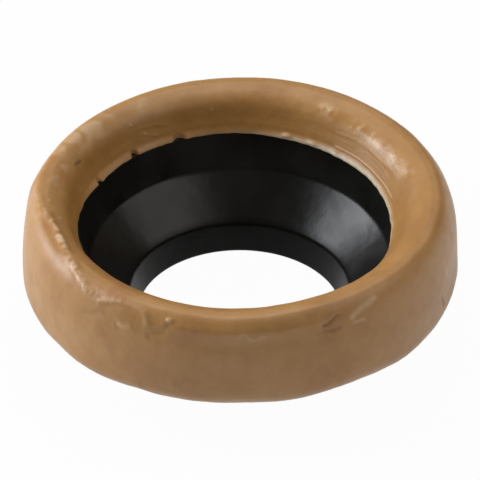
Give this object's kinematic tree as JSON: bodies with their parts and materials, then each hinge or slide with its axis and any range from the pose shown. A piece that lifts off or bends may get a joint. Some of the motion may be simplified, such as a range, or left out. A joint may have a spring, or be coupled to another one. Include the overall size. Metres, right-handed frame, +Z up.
{
  "type": "toilet pan seal",
  "caption": "Round ring of soft brown wax cast on a black plastic funnel. It seals a toilet pan's outlet to the drain flange below, and the funnel guides the waste into the pipe.",
  "frame": {"origin": "centre of the horn's spout end, on the surface that the seal stands on", "axes": "+Z up along the horn's axis, from the spout's end to the wax's crest; +Y points away from the camera in the picture"},
  "size_m": [0.1272, 0.1269, 0.0447],
  "materials": {
    "wax": "soft tan plumbing wax, waxy satin sheen, hand-pressed",
    "horn_plastic": "black moulded polyethylene, satin to glossy"
  },
  "bodies": {
    "root": {"wax_ring": "wax", "plastic_horn": "horn_plastic"}
  },
  "joints": []
}
